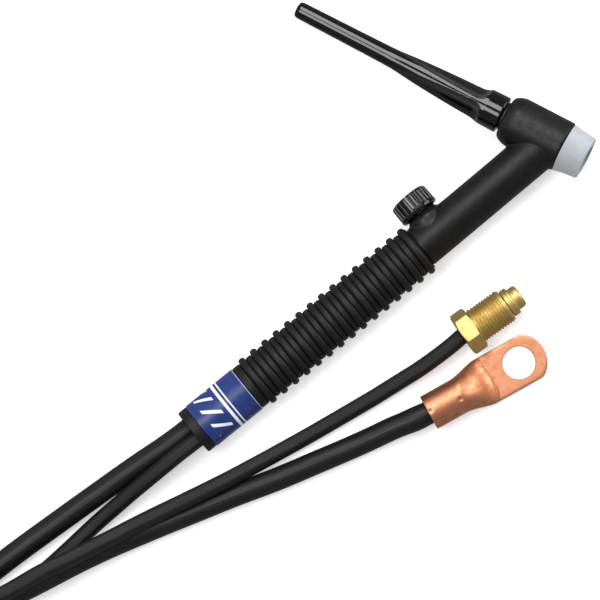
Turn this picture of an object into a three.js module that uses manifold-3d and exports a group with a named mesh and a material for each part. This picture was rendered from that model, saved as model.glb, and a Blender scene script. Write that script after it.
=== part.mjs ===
// A gas-cooled TIG welding torch with its power cable and gas hose, lying on a flat surface.
// Millimetres, +Z up. The torch lies along +X, its back cap points to +Y, the surface is z = 0.
import * as THREE from 'three';
import { mergeVertices } from 'three/addons/utils/BufferGeometryUtils.js';
import Module from 'manifold-3d';

const wasm = await Module();
wasm.setup();

// Where the torch lies. The bench frame has its origin under the handle's rear end.
const BENCH_ORIGIN = new THREE.Vector3(-105.64, -46.6, 0);
const HANDLE_HEIGHT = 12.33;
const TORCH_ROLL = THREE.MathUtils.degToRad(-4.6);
const NECK_SWING = THREE.MathUtils.degToRad(0.8);
const HEAD_ANGLE = THREE.MathUtils.degToRad(112.05);
const GAP = 0.3;

// Handle
const HANDLE_LENGTH = 124.1;
const HANDLE_RADIUS = 10.5;
const HANDLE_BORE = 9.2;
const RIB_RADIUS = 11.85;
const RIB_WIDTH = 3.2;
const RIB_PITCH = 6.2;
const RIB_COUNT = 15;
const FIRST_RIB = 35.2;
const RIB_STEPS = 3;
const LABEL_START = 4.4;
const LABEL_END = 29.6;
const LABEL_RADIUS = 10.75;
const LABEL_SEAT = 10.2;

// Neck and head
const SPIGOT_RADIUS = 8.8;
const SPIGOT_LENGTH = 24;
const NECK_RADIUS = 9.33;
const NECK_LENGTH = 71.8;
const BARREL_RADIUS = 11.1;
const BARREL_FRONT = -6.8;
const BARREL_TOP = 21.3;
const LIP_BOTTOM = 19;
const LIP_BORE = 6.2;
const CORE_RADIUS = 7;
const CORE_FRONT = -6;
const CORE_TOP = 18.7;
const FRONT_SOCKET = 5;
const REAR_SOCKET = 5.6;
const TUBE_RADIUS = 4;
const TUBE_BORE = 3;

// Gas valve on the neck
const VALVE_X = 9.8;
const VALVE_RADIUS = 5;
const VALVE_BOTTOM = -4.3;
const VALVE_TOP = 10.8;
const STEM_BORE = 3.1;
const STEM_RADIUS = 2.2;
const STEM_TOP = 17.5;
const KNOB_BOTTOM = 11.5;
const KNOB_TOP = 20.3;
const KNOB_RADIUS = 8.9;
const KNOB_FLUTES = 20;

// Gasket and back cap, along the head axis
const GASKET_FRONT = -17.6;
const GASKET_BACK = -7.1;
const GASKET_BORE = 6.3;
const CAP_START = 22.5;
const CAP_RADIUS = 8.1;
const CAP_TIP = 120.4;
const CAP_FLATS = 3;
const FLAT_START = 31;
const FLAT_RAMP = 5;
const FLAT_END = 76;
const FLAT_DISTANCE = 4.35;
const CAP_SOCKET_END = 31;

// Inside the handle
const BLOCK_START = 74;
const BLOCK_END = 86;
const BLOCK_RADIUS = 8.2;
const BLOCK_SOCKET_DEPTH = 6;
const CABLE_ENTRY = { y: 2.62, z: -2.87 };
const HOSE_ENTRY = { y: -3.93, z: 3.67 };
const CABLE_START = 51.7;
const HOSE_START = 55.7;

// Leads
const CABLE_DIAMETER = 10;
const HOSE_DIAMETER = 7;
const COIL_CENTRE = { x: -268.2, y: 4 };
const COIL_COLUMNS = 5;
const CABLE_TURN_RADIUS = 76.2;
const CABLE_PITCH = 10.05;
const HOSE_TURN_RADIUS = 70.3;
const HOSE_PITCH = 7.05;
const TIE_THICKNESS = 1.2;
const TIE_WIDTH = 16;
const TIE_INNER_SLACK = 1.4;
const TIE_ANGLES = { coil_tie_a: 110, coil_tie_b: 250 };

// Gas fitting and ring lug, in the bench frame
const NUT_POSITION = new THREE.Vector3(114.4, -40.2, 9.4);
const NUT_ANGLE = Math.atan2(-0.0645, 0.998);
const NUT_ACROSS_FLATS = 17.5;
const NUT_HEX_LENGTH = 7.1;
const NUT_HEX_TURN = THREE.MathUtils.degToRad(22.6);
const NUT_LENGTH = 23;
const NUT_BORE = 5;
const THREAD_RADIUS = 7.95;
const THREAD_PITCH = 1.41;
const THREAD_TURNS = 10;
const NIPPLE_END = 30.5;
const LUG_POSITION = new THREE.Vector3(82.8, -56.5, 0);
const LUG_ANGLE = THREE.MathUtils.degToRad(-9.9);
const LUG_BARREL_RADIUS = 7.8;
const LUG_BARREL_LENGTH = 16.5;
const LUG_BARREL_BORE = 5.9;
const LUG_HOLE_X = 44;
const LUG_HOLE_RADIUS = 7.1;
const LUG_PAD_THICKNESS = 3.2;
const LUG_PAD_WIDTH = 20.8;
const LUG_END_RADIUS = 12.2;
const LUG_NECK_END = 31;
const LUG_CABLE_DEPTH = 8;

// Routes of the leads in the bench frame, from the handle to the coil and from the coil to the fitting.
const CABLE_OUT = [
  [CABLE_START, 2.4, 9.3], [25, 2.4, 9.3], [5, 2.4, 9.3], [-5.6, 2.5, 9.2], [-15, 3.1, 8.5],
  [-25.8, 4.2, 7.2], [-36, 5, 6.1], [-46.5, 5.7, 5.4], [-57, 6.4, 5], [-67.3, 7, 5],
  [-88.3, 8.2, 5], [-101.2, 8.6, 5], [-118, 8.7, 5], [-134.6, 8.6, 5], [-150.7, 6.8, 5],
  [-166.1, 1.6, 5.4], [-180, -6.8, 6.3],
];
const CABLE_RETURN = [
  [-178.1, 17.3, 16.4], [-167.6, 11.8, 15.9], [-156.4, 8, 15.3], [-142, 4.4, 15.2],
  [-126, 0.4, 14.6], [-110, -3.6, 13.3], [-102.2, -5.3, 12.8], [-92.9, -7.4, 12.4],
  [-82, -9.6, 11.2], [-74, -11.2, 9.8], [-64.5, -13.4, 8.1], [-55.6, -15.7, 6.5],
  [-46.6, -18.3, 5.5], [-37.7, -20.9, 5.1], [-20.1, -26.3, 5.1], [-2.6, -31.7, 5.1], [14.4, -37.4, 5.1],
  [31.9, -42.5, 5.1], [49.4, -47.5, 5.1], [59, -50, 5.6], [67.1, -52, 6.6], [75.9, -54.7, 7.6],
  [82.8, -56.4, 7.8], [90.7, -57.88, 7.8],
];
const HOSE_OUT = [
  [HOSE_START, -3.62, 16.3], [30, -3.62, 16.3], [5, -3.62, 16.3], [-2.1, -3.5, 16.2],
  [-7.5, -3.3, 15.8], [-13, -3.2, 14.9], [-23.9, -3.15, 12.5], [-34.8, -3.1, 9.8],
  [-45.9, -3.3, 7], [-57.1, -3.6, 4.8], [-68, -4.3, 3.9], [-81.1, -5.1, 3.6], [-106.5, -6.1, 3.6],
  [-126, -6.8, 4.4], [-141, -7.3, 7.6], [-156, -7.8, 13.6], [-168.9, -9.5, 19.9],
  [-181.3, -13.4, 25], [-187, -16.1, 25.7], [-193.5, -20.2, 25.7],
];
const HOSE_RETURN = [
  [-193, 25.2, 31.8], [-187.2, 21.3, 30.6], [-177.8, 16.5, 28.6], [-167.7, 13.2, 26.8],
  [-155, 9.8, 25.1], [-141.2, 6.3, 24], [-125, 2.3, 22.9], [-104.3, -2.7, 21.3],
  [-86.4, -5.6, 20.1], [-77.3, -7.9, 18.8], [-58.7, -11.9, 15.5], [-39.9, -15.8, 12.8],
  [-21.5, -20.1, 11.7], [-11.5, -22.4, 11], [-2.6, -24.4, 10.2], [6.1, -26.1, 8.2],
  [16.3, -28, 5.8], [27, -29.9, 4.3], [37.9, -31.8, 3.7], [48.5, -33.5, 3.55], [59.4, -35.2, 3.6],
  [70, -36.8, 3.7], [81, -38.2, 4.3], [92, -39.6, 6.3], [102.8, -40.3, 8.5], [109.5, -40.4, 9.3],
  [114.4, -40.25, 9.4], [120.4, -40.6, 9.4], [126.4, -40.97, 9.4],
];

const material = (color, roughness, metalness) =>
  new THREE.MeshStandardMaterial({ color, roughness, metalness });
const BLACK_MOULDING = material(0x1d1f22, 0.45, 0);
const GLOSS_BLACK = material(0x0c0d10, 0.12, 0);
const HANDLE_RUBBER = material(0x17181a, 0.75, 0);
const LABEL_BLUE = material(0x1f3f9a, 0.35, 0);
const WHITE_PTFE = material(0xe9edf2, 0.4, 0);
const SEAL_RUBBER = material(0x101010, 0.6, 0);
const CORD_BLACK = material(0x141517, 0.55, 0);
const BRASS = material(0xc9a24a, 0.28, 1);
const COPPER = material(0xc98762, 0.35, 1);
const STRAP_BLACK = material(0x1a1a1c, 0.8, 0);

// Solids and boolean cuts
function toSolid(geometry) {
  const bare = geometry.clone();
  bare.deleteAttribute('normal');
  bare.deleteAttribute('uv');
  const merged = mergeVertices(bare, 1e-4);
  const corners = merged.index.array;
  const triangles = [];
  for (let i = 0; i < corners.length; i += 3) {
    const [a, b, c] = [corners[i], corners[i + 1], corners[i + 2]];
    if (a !== b && b !== c && c !== a) triangles.push(a, b, c);
  }
  return new wasm.Manifold(new wasm.Mesh({
    numProp: 3,
    vertProperties: new Float32Array(merged.attributes.position.array),
    triVerts: new Uint32Array(triangles),
  }));
}

function toGeometry(solid) {
  const mesh = solid.getMesh();
  const geometry = new THREE.BufferGeometry();
  geometry.setAttribute('position', new THREE.BufferAttribute(mesh.vertProperties, 3));
  geometry.setIndex(new THREE.BufferAttribute(mesh.triVerts, 1));
  geometry.computeVertexNormals();
  return geometry;
}

function join(...pieces) {
  return toGeometry(pieces.map(toSolid).reduce((sum, piece) => sum.add(piece)));
}

function cut(base, ...tools) {
  return toGeometry(tools.reduce((left, tool) => left.subtract(toSolid(tool)), toSolid(base)));
}

function common(first, second) {
  return toGeometry(toSolid(first).intersect(toSolid(second)));
}

function add(parent, name, geometry, look) {
  const mesh = new THREE.Mesh(geometry, look);
  mesh.name = name;
  parent.add(mesh);
}

function group(parent, x, y, z, turn = 0) {
  const child = new THREE.Group();
  child.position.set(x, y, z);
  child.rotation.z = turn;
  parent.add(child);
  return child;
}

// Turned shapes: a profile is a list of [radius, height] that runs up the outside, about +Y.
function turned(profile, segments = 32) {
  const points = profile.map(([radius, height]) => new THREE.Vector2(radius, height));
  return new THREE.LatheGeometry(points, segments);
}

function rod(radius, from, to, segments = 32) {
  return turned([[0, from], [radius, from], [radius, to], [0, to]], segments);
}

function pipe(bore, radius, from, to, segments = 32) {
  return turned([[bore, from], [radius, from], [radius, to], [bore, to], [bore, from]], segments);
}

const alongX = (geometry) => geometry.rotateZ(-Math.PI / 2);
const alongHead = (geometry) =>
  geometry.rotateZ(HEAD_ANGLE - Math.PI / 2).translate(NECK_LENGTH, 0, 0);

// Handle
function handleSleeve() {
  const profile = [[HANDLE_BORE, 0], [HANDLE_RADIUS - 0.4, 0], [HANDLE_RADIUS, 0.5]];
  profile.push([HANDLE_RADIUS, LABEL_START - GAP], [LABEL_SEAT, LABEL_START - GAP]);
  profile.push([LABEL_SEAT, LABEL_END + GAP], [HANDLE_RADIUS, LABEL_END + GAP]);
  for (let rib = 0; rib < RIB_COUNT; rib += 1) {
    const middle = FIRST_RIB + rib * RIB_PITCH;
    for (let step = 0; step <= RIB_STEPS; step += 1) {
      const angle = Math.PI * step / RIB_STEPS;
      const height = HANDLE_RADIUS + (RIB_RADIUS - HANDLE_RADIUS) * Math.sin(angle);
      profile.push([height, middle - RIB_WIDTH / 2 * Math.cos(angle)]);
    }
  }
  profile.push([HANDLE_RADIUS, HANDLE_LENGTH], [HANDLE_BORE, HANDLE_LENGTH], [HANDLE_BORE, 0]);
  return alongX(turned(profile, 20));
}

function labelBand() {
  return alongX(pipe(LABEL_SEAT + GAP, LABEL_RADIUS, LABEL_START, LABEL_END, 24));
}

// Head shell: neck, barrel and valve boss in one moulding, hollow for the metal parts
function headShell() {
  const neck = alongX(turned([
    [0, -SPIGOT_LENGTH], [SPIGOT_RADIUS - 0.5, -SPIGOT_LENGTH], [SPIGOT_RADIUS, 0.5 - SPIGOT_LENGTH],
    [SPIGOT_RADIUS, GAP], [NECK_RADIUS, GAP], [NECK_RADIUS, NECK_LENGTH], [0, NECK_LENGTH],
  ], 28));
  const barrel = alongHead(turned([
    [0, BARREL_FRONT], [BARREL_RADIUS, BARREL_FRONT], [BARREL_RADIUS, 16], [10.8, 17.2],
    [10.45, 18.3], [10, 19.5], [9.24, 20.6], [7.2, BARREL_TOP], [0, BARREL_TOP],
  ], 28));
  const boss = turned([[0, 0], [8.4, 0], [8.4, 8.5], [6.5, 11], [0, 11]], 24).translate(VALVE_X, 0, 0);
  const frontWaste = alongHead(rod(30, BARREL_FRONT - 30, BARREL_FRONT));
  const coreBore = alongHead(rod(CORE_RADIUS + GAP, BARREL_FRONT - 1, LIP_BOTTOM, 24));
  const lipBore = alongHead(rod(LIP_BORE, LIP_BOTTOM - 1, BARREL_TOP + 1, 20));
  const neckBore = alongX(rod(TUBE_RADIUS + GAP, -1, NECK_LENGTH, 20));
  const spigotBore = alongX(rod(VALVE_RADIUS, -SPIGOT_LENGTH - 1, 0, 20));
  const valvePocket = rod(VALVE_RADIUS + GAP, VALVE_BOTTOM - GAP, 12, 20)
    .translate(VALVE_X, 0, 0);
  return cut(join(neck, barrel, boss),
    frontWaste, coreBore, lipBore, neckBore, spigotBore, valvePocket);
}

function headCore() {
  const body = turned([
    [0, CORE_FRONT], [CORE_RADIUS - 0.4, CORE_FRONT], [CORE_RADIUS, CORE_FRONT + 0.4],
    [CORE_RADIUS, CORE_TOP], [0, CORE_TOP],
  ]);
  const gasPort = alongX(rod(2.5, -20, 0, 20)).rotateZ(Math.PI / 2 - HEAD_ANGLE);
  return cut(body, rod(FRONT_SOCKET, CORE_FRONT - 1, 4), rod(REAR_SOCKET, 8, CORE_TOP + 1),
    rod(3, 3, 9), gasPort);
}

function neckTube() {
  const tube = alongX(pipe(TUBE_BORE, TUBE_RADIUS, VALVE_X, NECK_LENGTH, 24));
  const valveClearance = rod(VALVE_RADIUS + GAP, -12, 12).translate(VALVE_X, 0, 0);
  return cut(tube, valveClearance, alongHead(rod(CORE_RADIUS + GAP, -20, 20)));
}

function cupGasket() {
  return turned([
    [GASKET_BORE, GASKET_FRONT], [9.1, GASKET_FRONT], [9.5, GASKET_FRONT + 0.5], [9.75, -14],
    [10.2, -10.5], [10.75, GASKET_BACK - 0.3], [10.6, GASKET_BACK], [GASKET_BORE, GASKET_BACK],
    [GASKET_BORE, GASKET_FRONT],
  ], 32);
}

// Back cap: a long tapered tube, closed at the tip, with three flats above its plain collar
function capFlat() {
  const outline = new THREE.Shape();
  outline.moveTo(9, FLAT_START);
  const centre = CAP_RADIUS;
  for (let step = 0; step <= 5; step += 1) {
    const angle = step * Math.PI / 10;
    outline.lineTo(centre - (centre - FLAT_DISTANCE) * Math.sin(angle),
      FLAT_START + FLAT_RAMP * (1 - Math.cos(angle)));
  }
  outline.lineTo(FLAT_DISTANCE, FLAT_END);
  outline.lineTo(9, FLAT_END);
  outline.closePath();
  return new THREE.ExtrudeGeometry(outline, { depth: 18, bevelEnabled: false }).translate(0, 0, -9);
}

function backCap() {
  const body = turned([
    [0, CAP_START], [7.7, CAP_START], [CAP_RADIUS, CAP_START + 0.5], [7.95, 30], [7.35, 37],
    [6.95, 44], [6.5, 50], [6, 56], [5.45, 62], [4.85, 68], [4.35, 72.5], [4.15, 78], [3.7, 118],
    [3.5, 119.6], [2.8, 120.2], [0, CAP_TIP],
  ], 36);
  const tools = [rod(5.3, CAP_START - 1, CAP_SOCKET_END, 20), rod(2.2, 30, 112, 12)];
  for (let flat = 0; flat < CAP_FLATS; flat += 1) {
    tools.push(capFlat().rotateY(Math.PI / 2 + 2 * Math.PI * flat / CAP_FLATS));
  }
  return cut(body, ...tools);
}

function capInsert() {
  const body = turned([
    [0, 9], [4.8, 9], [5.2, 9.6], [5.2, 20], [4.6, 20.1], [4.6, 22.8], [5, 23],
    [5, CAP_SOCKET_END - GAP], [0, CAP_SOCKET_END - GAP],
  ], 24);
  return cut(body, rod(2, 8, CAP_SOCKET_END + 1, 16));
}

function ring(major, minor, height, sides = 6, segments = 20) {
  const profile = [];
  for (let side = 0; side <= sides; side += 1) {
    const angle = 2 * Math.PI * side / sides;
    profile.push([major + minor * Math.cos(angle), height + minor * Math.sin(angle)]);
  }
  return turned(profile, segments);
}

// Gas valve
function valveBody() {
  const crossBore = alongX(rod(2, -8, 8, 16));
  return cut(rod(VALVE_RADIUS, VALVE_BOTTOM, VALVE_TOP), rod(STEM_BORE, -1.5, VALVE_TOP + 1), crossBore);
}

function valveStem() {
  return turned([
    [0, -1], [0.8, -1], [STEM_RADIUS, 1.4], [STEM_RADIUS, 6.2], [1.5, 6.2], [1.5, 7.8],
    [STEM_RADIUS, 7.8], [STEM_RADIUS, STEM_TOP], [0, STEM_TOP],
  ], 16);
}

function flutedOutline(count, crest, floor) {
  const outline = new THREE.Shape();
  const corners = [[-0.32, floor], [-0.24, crest], [0.24, crest], [0.32, floor]];
  for (let flute = 0; flute < count; flute += 1) {
    corners.forEach(([offset, radius], corner) => {
      const angle = 2 * Math.PI * (flute + offset) / count;
      const [x, y] = [radius * Math.cos(angle), radius * Math.sin(angle)];
      if (flute + corner === 0) outline.moveTo(x, y);
      else outline.lineTo(x, y);
    });
  }
  outline.closePath();
  return outline;
}

function valveKnob() {
  const outline = flutedOutline(KNOB_FLUTES, KNOB_RADIUS - 0.1, KNOB_RADIUS - 0.9);
  const grip = new THREE.ExtrudeGeometry(outline, {
    depth: KNOB_TOP - KNOB_BOTTOM - 2, bevelEnabled: false,
  }).rotateX(-Math.PI / 2).translate(0, KNOB_BOTTOM + 1, 0);
  const skirt = turned([
    [0, KNOB_BOTTOM], [8.6, KNOB_BOTTOM], [KNOB_RADIUS, KNOB_BOTTOM + 0.3],
    [KNOB_RADIUS, KNOB_BOTTOM + 1.3], [0, KNOB_BOTTOM + 1.3],
  ], 30);
  const dome = turned([
    [0, KNOB_TOP - 2], [8, KNOB_TOP - 2], [8, KNOB_TOP - 1], [7.4, KNOB_TOP - 0.4],
    [6, KNOB_TOP], [0, KNOB_TOP],
  ], 30);
  const underside = pipe(4, 7.6, KNOB_BOTTOM - 1, KNOB_BOTTOM + 3, 24);
  const stemBore = rod(STEM_RADIUS + GAP, KNOB_BOTTOM - 1, STEM_TOP + GAP, 20);
  return cut(join(grip, skirt, dome), underside, stemBore);
}

// Metal parts inside the handle
function rearBlock() {
  const body = alongX(rod(BLOCK_RADIUS, BLOCK_START, BLOCK_END));
  const socket = alongX(rod(TUBE_RADIUS + GAP, BLOCK_END - BLOCK_SOCKET_DEPTH, BLOCK_END + 1));
  const gasWay = alongX(rod(1.5, BLOCK_START - 1, BLOCK_START + 8, 16));
  gasWay.translate(0, HOSE_ENTRY.y, HOSE_ENTRY.z);
  return cut(body, socket, gasWay);
}

function rearTube() {
  const from = BLOCK_END - BLOCK_SOCKET_DEPTH + GAP;
  const to = HANDLE_LENGTH + VALVE_X - VALVE_RADIUS - GAP - 0.1;
  return alongX(pipe(TUBE_BORE, TUBE_RADIUS, from, to, 24));
}

function gasBarb() {
  const profile = [[1, HOSE_START + GAP + 1]];
  for (let ridge = 0; ridge < 4; ridge += 1) {
    const from = HOSE_START + GAP + 1 + ridge * 3.2;
    profile.push([2, from], [2.6, from + 2.6], [2, from + 2.7]);
  }
  profile.push([2, BLOCK_START - 2], [2.6, BLOCK_START - 2], [2.6, BLOCK_START - GAP]);
  profile.push([1, BLOCK_START - GAP], [1, HOSE_START + GAP + 1]);
  return alongX(turned(profile, 16));
}

// Leads
function section(radius, sides) {
  const shape = new THREE.Shape();
  for (let side = 0; side < sides; side += 1) {
    const angle = 2 * Math.PI * side / sides;
    const [x, y] = [radius * Math.cos(angle), radius * Math.sin(angle)];
    if (side === 0) shape.moveTo(x, y);
    else shape.lineTo(x, y);
  }
  shape.closePath();
  return shape;
}

function lead(route, diameter) {
  const curve = new THREE.CatmullRomCurve3(route.map((point) => new THREE.Vector3(...point)));
  const steps = Math.round(curve.getLength() / (2.4 * diameter));
  return new THREE.ExtrudeGeometry(section(diameter / 2, 10), {
    steps, extrudePath: curve, bevelEnabled: false,
  });
}

function coil(turnRadius, pitch, diameter, bottom) {
  const inner = turnRadius - (COIL_COLUMNS - 1) * pitch - diameter / 2;
  const outer = turnRadius + diameter / 2;
  const top = bottom + pitch + diameter;
  const bulge = diameter / 4;
  const profile = [
    [inner, bottom + bulge], [inner + bulge, bottom], [outer - bulge, bottom],
    [outer, bottom + bulge], [outer, top - bulge], [outer - bulge, top], [inner + bulge, top],
    [inner, top - bulge], [inner, bottom + bulge],
  ];
  return turned(profile, 40).rotateX(Math.PI / 2);
}

function roundedLoop(left, bottom, right, top, corner) {
  const loop = new THREE.Shape();
  loop.moveTo(left + corner, bottom);
  loop.absarc(right - corner, bottom + corner, corner, -Math.PI / 2, 0);
  loop.absarc(right - corner, top - corner, corner, 0, Math.PI / 2);
  loop.absarc(left + corner, top - corner, corner, Math.PI / 2, Math.PI);
  loop.absarc(left + corner, bottom + corner, corner, Math.PI, 1.5 * Math.PI);
  return loop;
}

function coilTie(angle, top) {
  const coilInner = CABLE_TURN_RADIUS - (COIL_COLUMNS - 1) * CABLE_PITCH - CABLE_DIAMETER / 2;
  const inner = coilInner - TIE_INNER_SLACK;
  const outer = CABLE_TURN_RADIUS + CABLE_DIAMETER / 2 + GAP;
  const wall = TIE_THICKNESS;
  const strap = roundedLoop(inner - wall, 0, outer + wall, top + GAP + wall, 3.2);
  strap.holes.push(roundedLoop(inner, wall, outer, top + GAP, 2));
  const band = new THREE.ExtrudeGeometry(strap, {
    depth: TIE_WIDTH, bevelEnabled: false, curveSegments: 4,
  });
  band.translate(0, 0, -TIE_WIDTH / 2).rotateX(Math.PI / 2);
  return band.rotateZ(THREE.MathUtils.degToRad(angle));
}

// Gas fitting on the hose: hexagon nut with a male thread, and the nipple that it holds
function gasNut() {
  const corner = NUT_ACROSS_FLATS / Math.sqrt(3);
  const prism = new THREE.CylinderGeometry(corner, corner, NUT_HEX_LENGTH, 6);
  alongX(prism).translate(NUT_HEX_LENGTH / 2, 0, 0);
  prism.rotateX(NUT_HEX_TURN);
  const chamfer = alongX(turned([
    [0, 0], [8.6, 0], [corner + 0.1, 0.9], [corner + 0.1, NUT_HEX_LENGTH - 0.9],
    [8.6, NUT_HEX_LENGTH], [0, NUT_HEX_LENGTH],
  ]));
  const thread = [[0, NUT_HEX_LENGTH - 1], [THREAD_RADIUS - 0.7, NUT_HEX_LENGTH - 1]];
  for (let turn = 0; turn < THREAD_TURNS; turn += 1) {
    const from = NUT_HEX_LENGTH + 0.6 + turn * THREAD_PITCH;
    thread.push([THREAD_RADIUS - 0.7, from], [THREAD_RADIUS, from + THREAD_PITCH / 2]);
  }
  const front = NUT_HEX_LENGTH + 0.6 + THREAD_TURNS * THREAD_PITCH;
  thread.push([THREAD_RADIUS - 0.7, front], [THREAD_RADIUS - 0.7, NUT_LENGTH], [0, NUT_LENGTH]);
  const bore = alongX(rod(NUT_BORE, -1, NUT_LENGTH + 1, 24));
  return cut(join(common(prism, chamfer), alongX(turned(thread, 20))), bore);
}

function gasNipple() {
  const from = NUT_LENGTH + GAP;
  return alongX(turned([
    [1.6, 12.3], [3.2, 12.3], [3.2, from], [6.1, from], [6.4, from + 0.3], [6.4, 26.1], [6.1, 26.4],
    [5.15, 26.5], [5.1, 28.6], [4.9, 29.8], [4.3, NIPPLE_END], [1.6, NIPPLE_END], [1.6, 12.3],
  ], 28));
}

// Ring lug: crimped barrel flattened into a pad with one hole
function ringLug() {
  const half = LUG_PAD_WIDTH / 2;
  const arcStart = Math.asin(half / LUG_END_RADIUS);
  const outline = new THREE.Shape();
  outline.moveTo(LUG_NECK_END - 3.5, half);
  outline.quadraticCurveTo(LUG_NECK_END - 6, 0, LUG_NECK_END - 3.5, -half);
  outline.lineTo(LUG_HOLE_X, -half);
  outline.absarc(LUG_HOLE_X, 0, LUG_END_RADIUS, -arcStart, arcStart);
  outline.lineTo(LUG_HOLE_X, half);
  outline.closePath();
  const pad = new THREE.ExtrudeGeometry(outline, {
    depth: LUG_PAD_THICKNESS, bevelEnabled: false, curveSegments: 24,
  });
  const height = LUG_BARREL_RADIUS;
  const barrel = alongX(rod(height, 0, LUG_BARREL_LENGTH)).translate(0, 0, height);
  const flare = alongX(turned([
    [0, LUG_BARREL_LENGTH - 0.5], [height - 0.05, LUG_BARREL_LENGTH - 0.5], [height + 2.4, LUG_NECK_END],
    [0, LUG_NECK_END],
  ])).translate(0, 0, height);
  const side = new THREE.Shape();
  side.moveTo(LUG_BARREL_LENGTH - 1, 0);
  side.lineTo(LUG_NECK_END, 0);
  side.lineTo(LUG_NECK_END, LUG_PAD_THICKNESS);
  side.bezierCurveTo(LUG_NECK_END - 4, 5, LUG_BARREL_LENGTH + 5, 2 * height - 1,
    LUG_BARREL_LENGTH - 1, 2 * height - 0.05);
  side.closePath();
  const profile = new THREE.ExtrudeGeometry(side, { depth: 26, bevelEnabled: false, curveSegments: 8 });
  profile.rotateX(Math.PI / 2).translate(0, 13, 0);
  const bore = alongX(rod(LUG_BARREL_BORE, -1, LUG_BARREL_LENGTH, 24)).translate(0, 0, height);
  const hole = rod(LUG_HOLE_RADIUS, -2, 8).rotateX(Math.PI / 2).translate(LUG_HOLE_X, 0, 0);
  return cut(join(pad, barrel, common(flare, profile)), bore, hole);
}

// Assembly
const root = new THREE.Group();
const bench = group(root, BENCH_ORIGIN.x, BENCH_ORIGIN.y, BENCH_ORIGIN.z);
const torch = group(bench, 0, 0, HANDLE_HEIGHT);
torch.rotation.x = TORCH_ROLL;
add(torch, 'handle_sleeve', handleSleeve(), HANDLE_RUBBER);
add(torch, 'label_band', labelBand(), LABEL_BLUE);
add(torch, 'rear_block', rearBlock(), BRASS);
add(torch, 'rear_tube', rearTube(), COPPER);
const cableEntry = group(torch, 0, CABLE_ENTRY.y, CABLE_ENTRY.z);
add(cableEntry, 'power_ferrule', alongX(pipe(3.9, 4.6, 56, BLOCK_START - GAP, 24)), COPPER);
add(cableEntry, 'conductor', alongX(rod(3.5, CABLE_START + GAP, 70, 20)), COPPER);
const hoseEntry = group(torch, 0, HOSE_ENTRY.y, HOSE_ENTRY.z);
add(hoseEntry, 'gas_barb', gasBarb(), BRASS);
add(hoseEntry, 'hose_ferrule', alongX(pipe(2.9, 3.5, HOSE_START + GAP, 72, 20)), BRASS);

const neck = group(torch, HANDLE_LENGTH, 0, 0, NECK_SWING);
add(neck, 'head_shell', headShell(), BLACK_MOULDING);
add(neck, 'neck_tube', neckTube(), COPPER);
const valve = group(neck, VALVE_X, 0, 0);
add(valve, 'valve_body', valveBody(), BRASS);
add(valve, 'valve_stem', valveStem(), BRASS);
add(valve, 'stem_o_ring', ring(2.3, 0.5, 7), SEAL_RUBBER);
add(valve, 'valve_knob', valveKnob(), GLOSS_BLACK);

const head = group(neck, NECK_LENGTH, 0, 0, HEAD_ANGLE - Math.PI / 2);
add(head, 'head_core', headCore(), BRASS);
add(head, 'cup_gasket', cupGasket(), WHITE_PTFE);
add(head, 'back_cap', backCap(), GLOSS_BLACK);
add(head, 'cap_insert', capInsert(), BRASS);
add(head, 'cap_o_ring', ring(5.4, 0.5, 20.9), SEAL_RUBBER);

add(bench, 'power_cable_out', lead(CABLE_OUT, CABLE_DIAMETER), CORD_BLACK);
add(bench, 'power_cable_return', lead(CABLE_RETURN, CABLE_DIAMETER), CORD_BLACK);
add(bench, 'gas_hose_out', lead(HOSE_OUT, HOSE_DIAMETER), CORD_BLACK);
add(bench, 'gas_hose_return', lead(HOSE_RETURN, HOSE_DIAMETER), CORD_BLACK);
const storage = group(bench, COIL_CENTRE.x, COIL_CENTRE.y, 0);
const cableBottom = TIE_THICKNESS + GAP;
const hoseBottom = cableBottom + CABLE_PITCH + CABLE_DIAMETER + GAP;
const coilTop = hoseBottom + HOSE_PITCH + HOSE_DIAMETER;
const cableCoil = coil(CABLE_TURN_RADIUS, CABLE_PITCH, CABLE_DIAMETER, cableBottom);
const hoseCoil = coil(HOSE_TURN_RADIUS, HOSE_PITCH, HOSE_DIAMETER, hoseBottom);
add(storage, 'power_cable_coil', cableCoil, CORD_BLACK);
add(storage, 'gas_hose_coil', hoseCoil, CORD_BLACK);
for (const [name, angle] of Object.entries(TIE_ANGLES)) {
  add(storage, name, coilTie(angle, coilTop), STRAP_BLACK);
}

const fitting = group(bench, NUT_POSITION.x, NUT_POSITION.y, NUT_POSITION.z, NUT_ANGLE);
add(fitting, 'gas_nut', gasNut(), BRASS);
add(fitting, 'gas_nipple', gasNipple(), BRASS);
add(fitting, 'nipple_ferrule', alongX(pipe(3.8, 4.6, 4, 16, 20)), BRASS);

const lug = group(bench, LUG_POSITION.x, LUG_POSITION.y, LUG_POSITION.z, LUG_ANGLE);
add(lug, 'ring_lug', ringLug(), COPPER);
const strands = rod(3.5, LUG_CABLE_DEPTH + GAP, 15.5, 20);
add(lug, 'lug_conductor', alongX(strands).translate(0, 0, LUG_BARREL_RADIUS), COPPER);

export default root;
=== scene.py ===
# Looks of a gas-cooled TIG welding torch with its power cable and gas hose.
# The bench, the camera and the lights are set out in metres. The sizes of the parts, their profiles as
# (position along the axis, radius), and the routes of the leads are in millimetres.
import math

import bmesh
import bpy
import numpy as np
from mathutils import Matrix, Vector


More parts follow.
